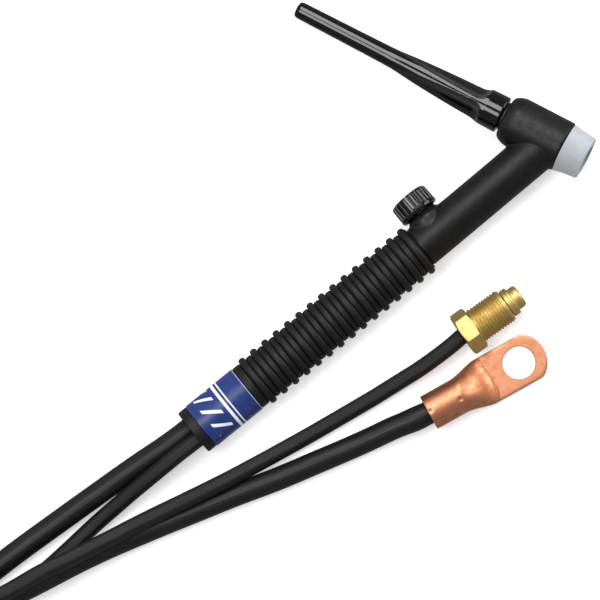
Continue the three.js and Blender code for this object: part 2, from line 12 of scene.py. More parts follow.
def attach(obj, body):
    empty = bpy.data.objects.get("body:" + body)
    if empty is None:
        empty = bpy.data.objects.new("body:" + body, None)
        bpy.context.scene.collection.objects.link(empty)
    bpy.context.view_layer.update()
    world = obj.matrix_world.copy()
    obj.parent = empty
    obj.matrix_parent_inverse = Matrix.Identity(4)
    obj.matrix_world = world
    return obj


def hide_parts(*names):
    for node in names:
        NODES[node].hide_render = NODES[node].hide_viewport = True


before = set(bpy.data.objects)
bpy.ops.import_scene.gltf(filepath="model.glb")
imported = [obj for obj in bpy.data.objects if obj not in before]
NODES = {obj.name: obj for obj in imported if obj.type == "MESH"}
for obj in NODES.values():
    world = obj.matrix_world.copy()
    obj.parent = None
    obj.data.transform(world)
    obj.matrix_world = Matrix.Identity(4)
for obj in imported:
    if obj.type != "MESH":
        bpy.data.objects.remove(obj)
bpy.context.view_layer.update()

MM = 0.001

# Placing frames, the same as the CAD's nested groups
BENCH = Matrix.Translation((-0.10564, -0.0466, 0))
HANDLE_HEIGHT = 0.01233
TORCH_ROLL = math.radians(-4.6)
HANDLE_LENGTH = 124.1
NECK_SWING = math.radians(0.8)
NECK_LENGTH = 71.8
HEAD_ANGLE = math.radians(112.05)
VALVE_X = 9.8
NUT_POSITION = (0.1144, -0.0402, 0.0094)
NUT_ANGLE = math.atan2(-0.0645, 0.998)
LUG_POSITION = (0.0828, -0.0565, 0)
LUG_ANGLE = math.radians(-9.9)


def slide(x, y=0.0, z=0.0):
    return Matrix.Translation((x * MM, y * MM, z * MM))


def turn(angle, axis):
    return Matrix.Rotation(angle, 4, axis)


TORCH = BENCH @ Matrix.Translation((0, 0, HANDLE_HEIGHT)) @ turn(TORCH_ROLL, "X")
NECK = TORCH @ slide(HANDLE_LENGTH) @ turn(NECK_SWING, "Z")
HEAD = NECK @ slide(NECK_LENGTH) @ turn(HEAD_ANGLE, "Z")
VALVE = NECK @ slide(VALVE_X) @ turn(math.pi / 2, "Z")
FITTING = BENCH @ Matrix.Translation(NUT_POSITION) @ turn(NUT_ANGLE, "Z")
LUG = BENCH @ Matrix.Translation(LUG_POSITION) @ turn(LUG_ANGLE, "Z")


# ---------------------------------------------------------------- camera
VIEW_CENTRE = BENCH @ Vector((0.0707, 0.0151, 0.012))
VIEW_DISTANCE = 2.0
VIEW_TILT = math.radians(3.0)
VIEW_WIDTH = 0.255
IMAGE_UP = Vector((0.631, 0.776, 0))
SENSOR = 36.0


def make_camera():
    data = bpy.data.cameras.new("camera")
    data.sensor_width = SENSOR
    data.lens = SENSOR * VIEW_DISTANCE / VIEW_WIDTH
    camera = bpy.data.objects.new("camera", data)
    bpy.context.scene.collection.objects.link(camera)
    back = Vector((0, -math.sin(VIEW_TILT), math.cos(VIEW_TILT)))
    up = (IMAGE_UP - back * IMAGE_UP.dot(back)).normalized()
    right = up.cross(back)
    axes = Matrix((right, up, back)).transposed()
    camera.matrix_world = Matrix.Translation(VIEW_CENTRE + back * VIEW_DISTANCE) @ axes.to_4x4()
    bpy.context.scene.camera = camera


make_camera()


# ---------------------------------------------------------------- mesh building
def mesh_piece(name, points, faces, place, marks=None, angle=40.0):
    """A smooth piece from points in its own frame; marks are kept as the attribute 'place' for the looks."""
    mesh = bpy.data.meshes.new(name)
    points = np.asarray(points, float)
    marks = points if marks is None else np.asarray(marks, float)
    mesh.from_pydata([tuple(p) for p in points], [], faces)
    attribute = mesh.attributes.new("place", "FLOAT_VECTOR", "POINT")
    attribute.data.foreach_set("vector", marks.astype(np.float32).ravel())
    mesh.transform(place @ Matrix.Scale(MM, 4))
    piece = bpy.data.objects.new(name, mesh)
    bpy.context.scene.collection.objects.link(piece)
    tidy_normals(mesh)
    mesh.shade_smooth()
    mesh.set_sharp_from_angle(angle=math.radians(angle))
    return piece


def tidy_normals(mesh):
    work = bmesh.new()
    work.from_mesh(mesh)
    bmesh.ops.remove_doubles(work, verts=work.verts, dist=1e-7)
    bmesh.ops.recalc_face_normals(work, faces=work.faces)
    work.to_mesh(mesh)
    work.free()


def softened(profile, radius, steps=4):
    """The profile with each inner corner rounded by a short curve."""
    points = [np.array(p, float) for p in profile]
    result = [points[0]]
    for before, corner, after in zip(points, points[1:], points[2:]):
        back, ahead = before - corner, after - corner
        reach = min(radius, 0.45 * np.linalg.norm(back), 0.45 * np.linalg.norm(ahead))
        start = corner + back / np.linalg.norm(back) * reach
        end = corner + ahead / np.linalg.norm(ahead) * reach
        for step in range(steps + 1):
            t = step / steps
            result.append((1 - t) ** 2 * start + 2 * t * (1 - t) * corner + t * t * end)
    result.append(points[-1])
    return result


def turned(name, place, profile, sides=96, soft=0.25, steps=4, shape=None, angle=40.0):
    """A piece turned about the frame's X. A profile that doesn't start on the axis closes on itself.
    shape(x, radius, angles) changes the radius, for flutes, flats and threads."""
    ring = softened(profile, soft, steps) if soft else [np.array(p, float) for p in profile]
    solid = profile[0][1] == 0
    rows = ring[1:-1] if solid else ring[:-1]
    angles = 2 * math.pi * np.arange(sides) / sides
    points = []
    for x, radius in rows:
        reach = np.full(sides, float(radius)) if shape is None else shape(x, radius, angles)
        points += list(zip(np.full(sides, x), reach * np.cos(angles), reach * np.sin(angles)))
    faces = []
    count = len(rows)
    for row in range(count - 1 if solid else count):
        upper = (row + 1) % count
        for side in range(sides):
            across = (side + 1) % sides
            faces.append((row * sides + side, row * sides + across,
                          upper * sides + across, upper * sides + side))
    if solid:
        first, last = len(points), len(points) + 1
        points += [(ring[0][0], 0, 0), (ring[-1][0], 0, 0)]
        top = (count - 1) * sides
        for side in range(sides):
            across = (side + 1) % sides
            faces.append((first, across, side))
            faces.append((last, top + side, top + across))
    return mesh_piece(name, points, faces, place, angle=angle)


def smooth_least(a, b, width):
    """The lesser of a and b, with the corner between them rounded over width."""
    mix = np.clip(0.5 + 0.5 * (b - a) / width, 0, 1)
    return b * (1 - mix) + a * mix - width * mix * (1 - mix)


def along(profile, step):
    """The profile with points added so that none are further apart than step."""
    result = []
    for (x0, r0), (x1, r1) in zip(profile, profile[1:]):
        parts = max(1, math.ceil(math.hypot(x1 - x0, r1 - r0) / step))
        result += [(x0 + (x1 - x0) * i / parts, r0 + (r1 - r0) * i / parts) for i in range(parts)]
    return result + [profile[-1]]


def finish_piece(piece, body, slot, look, *nodes):
    piece.data.materials.clear()
    piece.data.materials.append(look)
    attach(piece, body)
    if nodes:
        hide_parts(*nodes)
    return piece


# ---------------------------------------------------------------- leads
CABLE_DIAMETER = 10.0
HOSE_DIAMETER = 7.0
COIL_CENTRE = (-268.2, 4.0)
COIL_COLUMNS = (0, 1, 2, 3, 4, 3, 2, 1, 0)
UPPER_LAYER_FROM = 5
COIL_CROSSING = math.radians(50)
COIL_CLIMB = math.radians(110)
TURN_STEPS = 36
ROUTE_STEPS = 24
CABLE_COIL = {"radius": 76.2, "pitch": 10.05, "height": 6.5, "start": -27.8, "end": 30.5}
HOSE_COIL = {"radius": 70.3, "pitch": 7.05, "height": 25.35, "start": -36.1, "end": 33.8}
CABLE_OUT = [
    (51.7, 2.4, 9.3), (25, 2.4, 9.3), (5, 2.4, 9.3), (-5.6, 2.5, 9.2), (-15, 3.1, 8.5),
    (-25.8, 4.2, 7.2), (-36, 5, 6.1), (-46.5, 5.7, 5.4), (-57, 6.4, 5), (-67.3, 7, 5),
    (-88.3, 8.2, 5), (-101.2, 8.6, 5), (-118, 8.7, 5), (-134.6, 8.6, 5), (-150.7, 6.8, 5),
    (-166.1, 1.6, 5.4), (-180, -6.8, 6.3), (-191.8, -18, 6.5),
]
CABLE_RETURN = [
    (-195.9, 32.9, 16.55), (-187.6, 24.4, 16.5),
    (-178.1, 17.3, 16.4), (-167.6, 11.8, 15.9), (-156.4, 8, 15.3), (-142, 4.4, 15.2),
    (-126, 0.4, 14.6), (-110, -3.6, 13.3), (-102.2, -5.3, 12.8), (-92.9, -7.4, 12.4),
    (-82, -9.6, 11.2), (-74, -11.2, 9.8), (-64.5, -13.4, 8.1), (-55.6, -15.7, 6.5),
    (-46.6, -18.3, 5.5), (-37.7, -20.9, 5.1), (-20.1, -26.3, 5.1), (-2.6, -31.7, 5.1),
    (14.4, -37.4, 5.1), (31.9, -42.5, 5.1), (49.4, -47.5, 5.1), (59, -50, 5.6), (67.1, -52, 6.6),
    (75.9, -54.7, 7.6), (82.8, -56.4, 7.8), (90.7, -57.88, 7.8),
]
HOSE_OUT = [
    (55.7, -3.62, 16.3), (30, -3.62, 16.3), (5, -3.62, 16.3), (-2.1, -3.5, 16.2),
    (-7.5, -3.3, 15.8), (-13, -3.2, 14.9), (-23.9, -3.15, 12.5), (-34.8, -3.1, 9.8),
    (-45.9, -3.3, 7), (-57.1, -3.6, 4.8), (-68, -4.3, 3.9), (-81.1, -5.1, 3.6), (-106.5, -6.1, 3.6),
    (-126, -6.8, 4.4), (-141, -7.3, 7.6), (-156, -7.8, 13.6), (-168.9, -9.5, 19.9),
    (-181.3, -13.4, 25), (-187, -16.1, 25.7), (-193.5, -20.2, 25.7), (-203, -27.5, 25.4),
]
HOSE_RETURN = [
    (-203.5, 34.6, 32.4), (-195.8, 27.3, 32.2),
    (-193, 25.2, 31.8), (-187.2, 21.3, 30.6), (-177.8, 16.5, 28.6), (-167.7, 13.2, 26.8),
    (-155, 9.8, 25.1), (-141.2, 6.3, 24), (-125, 2.3, 22.9), (-104.3, -2.7, 21.3),
    (-86.4, -5.6, 20.1), (-77.3, -7.9, 18.8), (-58.7, -11.9, 15.5), (-39.9, -15.8, 12.8),
    (-21.5, -20.1, 11.7), (-11.5, -22.4, 11), (-2.6, -24.4, 10.2), (6.1, -26.1, 8.2),
    (16.3, -28, 5.8), (27, -29.9, 4.3), (37.9, -31.8, 3.7), (48.5, -33.5, 3.55), (59.4, -35.2, 3.6),
    (70, -36.8, 3.7), (81, -38.2, 4.3), (92, -39.6, 6.3), (102.8, -40.3, 8.5), (109.5, -40.4, 9.3),
    (114.4, -40.25, 9.4), (120.4, -40.6, 9.4), (126.4, -40.97, 9.4),
]


def ease(t):
    t = min(max(t, 0.0), 1.0)
    return t * t * (3 - 2 * t)


def coil_route(coil):
    """The turns, clockwise from above: five columns inwards on the surface, then back outwards on top."""
    start, end = math.radians(coil["start"]), math.radians(coil["end"])
    part = (2 * math.pi - (end - start)) / (2 * math.pi)
    turns = len(COIL_COLUMNS) - 1 + part
    points = []
    for step in range(int(turns * TURN_STEPS) + 1):
        done = step / TURN_STEPS
        index = min(int(done), len(COIL_COLUMNS) - 1)
        left = 2 * math.pi * (index + 1 - done)
        column, layer = COIL_COLUMNS[index], float(index >= UPPER_LAYER_FROM)
        if index + 1 < len(COIL_COLUMNS):
            column += (COIL_COLUMNS[index + 1] - column) * ease(1 - left / COIL_CROSSING)
            if index + 1 == UPPER_LAYER_FROM:
                layer = ease((COIL_CLIMB - left) / (COIL_CLIMB - COIL_CROSSING))
        radius = coil["radius"] - column * coil["pitch"]
        angle = start - 2 * math.pi * done
        points.append((COIL_CENTRE[0] + radius * math.cos(angle),
                       COIL_CENTRE[1] + radius * math.sin(angle),
                       coil["height"] + layer * coil["pitch"]))
    return points


def smooth_route(points, spacing):
    """A centripetal Catmull-Rom curve through the points, with even spacing."""
    points = np.array(points, float)
    points = np.vstack([2 * points[0] - points[1], points, 2 * points[-1] - points[-2]])
    line = []
    for a, b, c, d in zip(points, points[1:], points[2:], points[3:]):
        knots = np.cumsum([0] + [np.linalg.norm(q - p) ** 0.5 for p, q in ((a, b), (b, c), (c, d))])
        for t in np.linspace(knots[1], knots[2], ROUTE_STEPS, endpoint=False):
            first = [p + (q - p) * (t - k) / (m - k)
                     for p, q, k, m in zip((a, b, c), (b, c, d), knots, knots[1:])]
            second = [p + (q - p) * (t - k) / (m - k)
                      for p, q, k, m in zip(first, first[1:], knots, knots[2:])]
            line.append(second[0] + (second[1] - second[0]) * (t - knots[1]) / (knots[2] - knots[1]))
    line = np.array(line + [points[-2]])
    far = np.concatenate([[0], np.cumsum(np.linalg.norm(np.diff(line, axis=0), axis=1))])
    even = np.linspace(0, far[-1], int(far[-1] / spacing) + 1)
    return np.stack([np.interp(even, far, line[:, i]) for i in range(3)], axis=1), even


def lead(name, route, diameter, spacing, sides, swell=None):
    """A mesh tube along the route. 'place' holds the distance along, and the place round, it."""
    line, far = smooth_route(route, spacing)
    ahead = np.gradient(line, axis=0)
    ahead /= np.linalg.norm(ahead, axis=1)[:, None]
    side = np.cross(ahead, (0, 0, 1))
    side /= np.linalg.norm(side, axis=1)[:, None]
    up = np.cross(side, ahead)
    angles = 2 * math.pi * np.arange(sides) / sides
    points, marks, faces = [], [], []
    for i in range(len(line)):
        radius = diameter / 2 * (1 if swell is None else swell(far[i], far[-1]))
        around = np.outer(np.cos(angles), side[i]) + np.outer(np.sin(angles), up[i])
        points.append(line[i] + radius * around)
        marks.append(np.stack([np.full(sides, far[i]), radius * np.cos(angles),
                               radius * np.sin(angles)], axis=1))
    for i in range(len(line) - 1):
        for k in range(sides):
            n = (k + 1) % sides
            faces.append((i * sides + k, i * sides + n, (i + 1) * sides + n, (i + 1) * sides + k))
    faces.append(tuple(range(sides)))
    faces.append(tuple((len(line) - 1) * sides + k for k in range(sides))[::-1])
    piece = mesh_piece(name, np.concatenate(points), faces, BENCH, np.concatenate(marks))
    return piece, [tuple(BENCH @ Vector(p * MM)) for p in line]


SWELL = 0.05
SWELL_FROM_END = 14
SWELL_REACH = 7


def end_swell(far, total):
    """The jacket spreads slightly where it is pushed into the lug."""
    return 1 + SWELL * ease(1 - abs(total - SWELL_FROM_END - far) / SWELL_REACH)


cable, cable_line = lead(
    "power_cable", CABLE_OUT + coil_route(CABLE_COIL) + CABLE_RETURN, CABLE_DIAMETER, 2.5, 36,
    end_swell)
hose, hose_line = lead(
    "gas_hose", HOSE_OUT + coil_route(HOSE_COIL) + HOSE_RETURN, HOSE_DIAMETER, 2.2, 32)


# ---------------------------------------------------------------- materials
class Look:
    """A node material under construction. Feature sizes are given in millimetres."""

    def __init__(self, name, own_marks=True):
        self.material = bpy.data.materials.new(name)
        self.material.use_nodes = True
        self.tree = self.material.node_tree
        self.shader = self.tree.nodes["Principled BSDF"]
        self.normal = None
        if own_marks:
            marks = self.tree.nodes.new("ShaderNodeAttribute")
            marks.attribute_name = "place"
            self.place = marks.outputs["Vector"]
        else:
            source = self.tree.nodes.new("ShaderNodeTexCoord")
            self.place = self.scaled(source.outputs["Object"], (1000, 1000, 1000))

    def link(self, source, target):
        self.tree.links.new(source, target)

    def scaled(self, vector, scale):
        node = self.tree.nodes.new("ShaderNodeMapping")
        node.inputs["Scale"].default_value = scale
        self.link(vector, node.inputs["Vector"])
        return node.outputs["Vector"]

    def maths(self, operation, *values):
        node = self.tree.nodes.new("ShaderNodeMath")
        node.operation = operation
        for socket, value in zip(node.inputs, values):
            if isinstance(value, (int, float)):
                socket.default_value = value
            else:
                self.link(value, socket)
        return node.outputs[0]

    def parts(self):
        node = self.tree.nodes.new("ShaderNodeSeparateXYZ")
        self.link(self.place, node.inputs[0])
        return node.outputs

    def noise(self, size, detail=3.0, roughness=0.5, stretch=(1, 1, 1)):
        node = self.tree.nodes.new("ShaderNodeTexNoise")
        node.inputs["Scale"].default_value = 1.0
        node.inputs["Detail"].default_value = detail
        node.inputs["Roughness"].default_value = roughness
        scale = tuple(1.0 / (size * s) for s in stretch)
        self.link(self.scaled(self.place, scale), node.inputs["Vector"])
        return node.outputs["Fac"]

    def ramp(self, value, low, high, start, end):
        """From start, where value is below low, to end, where it is above high: colours or numbers."""
        if isinstance(start, (int, float)):
            node = self.tree.nodes.new("ShaderNodeMapRange")
            node.interpolation_type = "SMOOTHSTEP"
            for socket, number in zip(node.inputs[1:5], (low, high, start, end)):
                socket.default_value = number
            self.link(value, node.inputs[0])
            return node.outputs[0]
        node = self.tree.nodes.new("ShaderNodeValToRGB")
        node.color_ramp.interpolation = "EASE"
        node.color_ramp.elements[0].position = low
        node.color_ramp.elements[1].position = high
        node.color_ramp.elements[0].color = (*start, 1)
        node.color_ramp.elements[1].color = (*end, 1)
        self.link(value, node.inputs[0])
        return node.outputs[0]

    def mix(self, share, first, second):
        node = self.tree.nodes.new("ShaderNodeMix")
        node.data_type = "RGBA"
        self.link(share, node.inputs[0])
        for socket, value in zip((node.inputs[6], node.inputs[7]), (first, second)):
            if isinstance(value, tuple):
                socket.default_value = (*value, 1)
            else:
                self.link(value, socket)
        return node.outputs[2]

    def bump(self, height, depth, strength=1.0):
        """Adds relief whose full height is depth millimetres."""
        node = self.tree.nodes.new("ShaderNodeBump")
        node.inputs["Distance"].default_value = depth * MM
        node.inputs["Strength"].default_value = strength
        self.link(height, node.inputs["Height"])
        if self.normal is not None:
            self.link(self.normal, node.inputs["Normal"])
        self.normal = node.outputs["Normal"]

    def done(self, color, roughness, metallic=0.0, **constants):
        shader = self.shader
        for name, value in (("Base Color", color), ("Roughness", roughness)):
            if isinstance(value, tuple):
                shader.inputs[name].default_value = (*value, 1)
            elif isinstance(value, (int, float)):
                shader.inputs[name].default_value = value
            else:
                self.link(value, shader.inputs[name])
        shader.inputs["Metallic"].default_value = metallic
        for name, value in constants.items():
            shader.inputs[name.replace("_", " ")].default_value = value
        if self.normal is not None:
            self.link(self.normal, shader.inputs["Normal"])
        return self.material


def grip_rubber():
    look = Look("grip_rubber")
    grain = look.noise(0.22, 4, 0.65)
    specks = look.ramp(look.noise(0.45, 2), 0.60, 0.74, (0.0042, 0.0042, 0.0044), (0.022, 0.021, 0.021))
    dust = look.ramp(look.noise(9, 3), 0.45, 0.75, 0.0, 0.3)
    color = look.mix(dust, specks, (0.0085, 0.0085, 0.0085))
    look.bump(grain, 0.09, 0.9)
    look.bump(look.noise(0.8, 3), 0.09, 0.8)
    return look.done(color, look.ramp(grain, 0.3, 0.7, 0.58, 0.4), Specular_IOR_Level=0.3)


def head_plastic():
    look = Look("head_plastic")
    color = look.ramp(look.noise(6, 4), 0.35, 0.7, (0.0022, 0.0022, 0.0024), (0.0038, 0.0038, 0.0041))
    look.bump(look.noise(0.28, 3, 0.6), 0.018, 0.7)
    look.bump(look.noise(5, 2), 0.05, 0.5)
    return look.done(color, look.ramp(look.noise(2.2, 4), 0.35, 0.7, 0.40, 0.52),
                     Specular_IOR_Level=0.32)


def cap_plastic():
    look = Look("cap_plastic")
    color = look.ramp(look.noise(4, 3), 0.4, 0.7, (0.0012, 0.0012, 0.0015), (0.002, 0.002, 0.0024))
    rubbed = look.noise(0.35, 3, 0.6, (14, 1, 1))
    look.bump(look.noise(7, 2, 0.5, (3, 1, 1)), 0.03, 0.5)
    look.bump(rubbed, 0.0015, 0.5)
    return look.done(color, look.ramp(rubbed, 0.45, 0.8, 0.06, 0.12), Specular_IOR_Level=0.42)


def knob_plastic():
    look = Look("knob_plastic")
    color = look.ramp(look.noise(2.5, 3), 0.4, 0.7, (0.0018, 0.0018, 0.002), (0.0036, 0.0036, 0.0038))
    look.bump(look.noise(0.5, 3), 0.006, 0.5)
    return look.done(color, look.ramp(look.noise(1.4, 3), 0.35, 0.7, 0.12, 0.22),
                     Specular_IOR_Level=0.5)


LABEL_RADIUS = 10.75


def label_print():
    """Royal blue film with a plain white double band and three slanted bars."""
    look = Look("label_print")
    x, y, z = look.parts()
    angle = look.maths("ARCTAN2", y, z)
    round_place = look.maths("MULTIPLY", angle, LABEL_RADIUS)

    def band(value, start, end, soft=0.08):
        rise = look.ramp(value, start - soft, start + soft, 0.0, 1.0)
        fall = look.ramp(value, end - soft, end + soft, 1.0, 0.0)
        return look.maths("MULTIPLY", rise, fall)

    lines = look.maths("MAXIMUM", band(x, 17.6, 18.9), band(x, 20.0, 20.6))
    edge = look.maths("MULTIPLY", band(x, 29.15, 29.45), 0.45)
    lines = look.maths("MAXIMUM", lines, edge)
    slanted = look.maths("ADD", look.maths("MULTIPLY", x, 0.75), round_place)
    repeat = look.maths("WRAP", slanted, 7.4, 0.0)
    bars = look.maths("MULTIPLY", band(repeat, 1.2, 3.0), band(x, 8.2, 15.6))
    shown = look.maths("MULTIPLY", bars, band(round_place, -11.0, 14.0))
    white = look.maths("MAXIMUM", lines, shown)
    ink = look.ramp(look.noise(5, 3), 0.35, 0.7, (0.0095, 0.027, 0.145), (0.012, 0.034, 0.18))
    wear = look.ramp(look.noise(0.5, 3), 0.66, 0.72, 0.0, 0.4)
    color = look.mix(white, ink, (0.80, 0.83, 0.88))
    color = look.mix(wear, color, (0.05, 0.08, 0.22))
    look.bump(white, 0.02, 0.5)
    look.bump(look.noise(2.0, 2), 0.02, 0.5)
    return look.done(color, look.ramp(look.noise(1.5, 3), 0.3, 0.7, 0.28, 0.40))


def gasket_ptfe():
    look = Look("gasket_ptfe")
    color = look.ramp(look.noise(3, 3), 0.35, 0.7, (0.37, 0.395, 0.42), (0.395, 0.42, 0.445))
    rings = look.noise(0.18, 2, 0.5, (1, 60, 60))
    look.bump(rings, 0.006, 0.5)
    return look.done(color, look.ramp(rings, 0.3, 0.7, 0.30, 0.42),
                     Subsurface_Weight=0.15, Subsurface_Radius=(0.002, 0.002, 0.002),
                     Subsurface_Scale=1.0)


def seal_rubber(own_marks=True):
    look = Look("seal_rubber", own_marks)
    grain = look.noise(0.2, 3)
    look.bump(grain, 0.01, 0.5)
    color = look.ramp(grain, 0.4, 0.7, (0.008, 0.008, 0.008), (0.016, 0.016, 0.016))
    return look.done(color, look.ramp(grain, 0.3, 0.7, 0.4, 0.55))


def jacket(name, ribs, rib_depth, shine, own_marks=True):
    """Extruded jacket: drawn lines along it, fine grain and scuffs."""
    look = Look(name, own_marks)
    x, y, z = look.parts()
    angle = look.maths("ARCTAN2", z, y)
    wave = look.maths("SINE", look.maths("MULTIPLY", angle, float(ribs)))
    drawn = look.noise(0.4, 2, 0.5, (60, 1, 1))
    grain = look.noise(0.25, 3, 0.6)
    scuffs = look.ramp(look.noise(4, 5, 0.6, (3, 1, 1)), 0.5, 0.75,
                       (0.0042, 0.0041, 0.004), (0.0105, 0.0102, 0.0098))
    look.bump(wave, rib_depth, 0.8)
    look.bump(drawn, 0.035, 0.7)
    look.bump(grain, 0.015, 0.6)
    return look.done(scuffs, look.ramp(grain, 0.3, 0.7, shine, shine + 0.12),
                     Specular_IOR_Level=0.35)


def brass(own_marks=True):
    """Machined brass: rings left by the tool, slight tarnish."""
    look = Look("machined_brass" if own_marks else "inner_brass", own_marks)
    rings = look.noise(0.13, 2, 0.6, (1, 50, 50))
    tarnish = look.noise(2.6, 4, 0.6)
    color = look.ramp(tarnish, 0.3, 0.72, (0.68, 0.52, 0.20), (0.57, 0.41, 0.14))
    look.bump(rings, 0.008, 0.6)
    look.bump(look.noise(0.9, 3), 0.006, 0.5)
    return look.done(color, look.ramp(tarnish, 0.3, 0.75, 0.44, 0.56), 1.0)


def copper(own_marks=True):
    """Drawn and pressed copper, bright with rubbed patches."""
    look = Look("pressed_copper" if own_marks else "inner_copper", own_marks)
    rubbed = look.noise(2.8, 5, 0.6, (1.6, 1, 1))
    color = look.ramp(rubbed, 0.32, 0.7, (0.72, 0.325, 0.185), (0.58, 0.225, 0.115))
    look.bump(look.noise(1.7, 3), 0.03, 0.6)
    look.bump(look.noise(0.16, 3, 0.6, (9, 1, 1)), 0.006, 0.6)
    return look.done(color, look.ramp(rubbed, 0.3, 0.7, 0.36, 0.52), 1.0)


def strap_weave():
    look = Look("strap_weave")
    x, y, z = look.parts()
    along_wave = look.maths("SINE", look.maths("MULTIPLY", x, 7.5))
    across_wave = look.maths("SINE", look.maths("MULTIPLY", y, 7.5))
    weave = look.maths("MULTIPLY", along_wave, across_wave)
    fuzz = look.noise(0.3, 4, 0.7)
    color = look.ramp(fuzz, 0.35, 0.7, (0.010, 0.010, 0.012), (0.028, 0.028, 0.031))
    look.bump(weave, 0.12, 0.8)
    look.bump(fuzz, 0.08, 0.7)
    return look.done(color, look.ramp(fuzz, 0.3, 0.7, 0.8, 0.95), Sheen_Weight=0.3, Sheen_Roughness=0.5)


MOULDED = head_plastic()
BRASS = brass()
COPPER = copper()
BLACK_SEAL = seal_rubber()
GLOSS_KNOB = knob_plastic()

finish_piece(cable, "torch", "cord_jacket", jacket("cable_jacket", 26, 0.02, 0.40),
             "power_cable_out", "power_cable_return", "power_cable_coil")
finish_piece(hose, "torch", "cord_jacket", jacket("hose_jacket", 30, 0.06, 0.34),
             "gas_hose_out", "gas_hose_return", "gas_hose_coil")


# ---------------------------------------------------------------- handle
RIB_COUNT = 15
RIB_PITCH = 6.2
FIRST_RIB = 35.2
RIB_HALF = 1.6
RIB_HEIGHT = 1.35
CREASE_WIDTH, CREASE_DEPTH = 0.55, 0.5
HANDLE_RADIUS = 10.5


def handle_profile():
    profile = [(0, 9.2), (0, 10.1), (0.4, HANDLE_RADIUS), (4.1, HANDLE_RADIUS), (4.15, 10.2),
               (29.85, 10.2), (29.9, HANDLE_RADIUS)]
    for rib in range(RIB_COUNT):
        middle = FIRST_RIB + rib * RIB_PITCH
        profile.append((middle - RIB_HALF - CREASE_WIDTH, HANDLE_RADIUS))
        profile.append((middle - RIB_HALF - 0.05, HANDLE_RADIUS - CREASE_DEPTH))
        for angle in np.linspace(0, math.pi, 11):
            profile.append((middle - RIB_HALF * math.cos(angle),
                            HANDLE_RADIUS + RIB_HEIGHT * math.sin(angle) ** 0.8))
        profile.append((middle + RIB_HALF + 0.05, HANDLE_RADIUS - CREASE_DEPTH))
        profile.append((middle + RIB_HALF + CREASE_WIDTH, HANDLE_RADIUS))
    return profile + [(123.9, HANDLE_RADIUS), (HANDLE_LENGTH, 10.2), (HANDLE_LENGTH, 9.2), (0, 9.2)]


handle = turned("handle_grip", TORCH, handle_profile(), 128, soft=0.07, steps=2, angle=70)
finish_piece(handle, "torch", "handle_rubber", grip_rubber(), "handle_sleeve")
label = turned("label_wrap", TORCH, [
    (4.4, 10.5), (4.4, 10.7), (4.55, LABEL_RADIUS), (29.45, LABEL_RADIUS), (29.6, 10.7),
    (29.6, 10.5), (4.4, 10.5)], 160, soft=0.05)
finish_piece(label, "torch", "label_blue", label_print(), "label_band")


# ---------------------------------------------------------------- head
VOXEL = 0.42
MOULD_SMOOTHING = 5


def loose_solid(place, profile, sides=72):
    return turned("loose", place, profile, sides, soft=0)


def apply_modifier(piece, kind, **settings):
    modifier = piece.modifiers.new(kind, kind)
    for name, value in settings.items():
        setattr(modifier, name, value)
    graph = bpy.context.evaluated_depsgraph_get()
    mesh = bpy.data.meshes.new_from_object(piece.evaluated_get(graph))
    piece.modifiers.clear()
    piece.data = mesh


def combine(piece, tool, operation):
    apply_modifier(piece, "BOOLEAN", object=tool, operation=operation, solver="EXACT")
    bpy.data.objects.remove(tool)


def mark_places(piece, place):
    """Writes each point's place in the part's own frame, in millimetres, for the looks."""
    back = (place @ Matrix.Scale(MM, 4)).inverted()
    mesh = piece.data
    old = mesh.attributes.get("place")
    if old:
        mesh.attributes.remove(old)
    attribute = mesh.attributes.new("place", "FLOAT_VECTOR", "POINT")
    for vertex, value in zip(mesh.vertices, attribute.data):
        value.vector = back @ vertex.co


def head_moulding():
    body = loose_solid(NECK, [(-24, 0), (-24, 8.3), (-23.5, 8.8), (0.3, 8.8), (0.3, 9.05),
                              (0.6, 9.33), (NECK_LENGTH, 9.33), (NECK_LENGTH, 0)])
    barrel = loose_solid(HEAD, [(-6.8, 0), (-6.8, 11.1), (16, 11.1), (17.2, 10.85), (18.3, 10.5),
                                (19.5, 10), (20.6, 9.24), (21.1, 8.4), (21.3, 7.2), (21.3, 0)])
    boss = loose_solid(VALVE, [(0, 0), (0, 8.5), (8.3, 8.45), (10.9, 6.6), (11, 6.2), (11, 0)])
    front = loose_solid(HEAD, [(-40, 0), (-40, 30), (-6.8, 30), (-6.8, 0)])
    combine(body, barrel, "UNION")
    combine(body, boss, "UNION")
    combine(body, front, "DIFFERENCE")
    apply_modifier(body, "REMESH", mode="VOXEL", voxel_size=VOXEL * MM)
    apply_modifier(body, "SMOOTH", factor=0.5, iterations=MOULD_SMOOTHING)
    for place, profile in (
            (HEAD, [(-8, 0), (-8, 7.6), (-6.9, 7.6), (-6.5, 7.3), (19, 7.3), (19, 0)]),
            (HEAD, [(18, 0), (18, 6.2), (22, 6.2), (22, 0)]),
            (NECK, [(-1, 0), (-1, 4.3), (66, 4.3), (66, 0)]),
            (NECK, [(-26, 0), (-26, 5), (0, 5), (0, 0)]),
            (VALVE, [(-4.6, 0), (-4.6, 5.3), (12, 5.3), (12, 0)])):
        combine(body, loose_solid(place, profile), "DIFFERENCE")
    body.name = body.data.name = "head_moulding"
    mark_places(body, NECK)
    body.data.shade_smooth()
    body.data.set_sharp_from_angle(angle=math.radians(50))
    return body


finish_piece(head_moulding(), "torch", "black_moulding", MOULDED, "head_shell")

gasket = turned("cup_gasket_ring", HEAD, [
    (-17.6, 6.3), (-17.6, 9.0), (-17.25, 9.4), (-16.75, 9.5), (-16.65, 9.42), (-16.5, 9.42),
    (-16.4, 9.52), (-14, 9.74), (-12, 9.95), (-10, 10.25), (-8.4, 10.58), (-7.35, 10.75),
    (-7.1, 10.6), (-7.1, 6.3), (-17.6, 6.3)], 128, soft=0.12)
finish_piece(gasket, "torch", "white_ptfe", gasket_ptfe(), "cup_gasket")


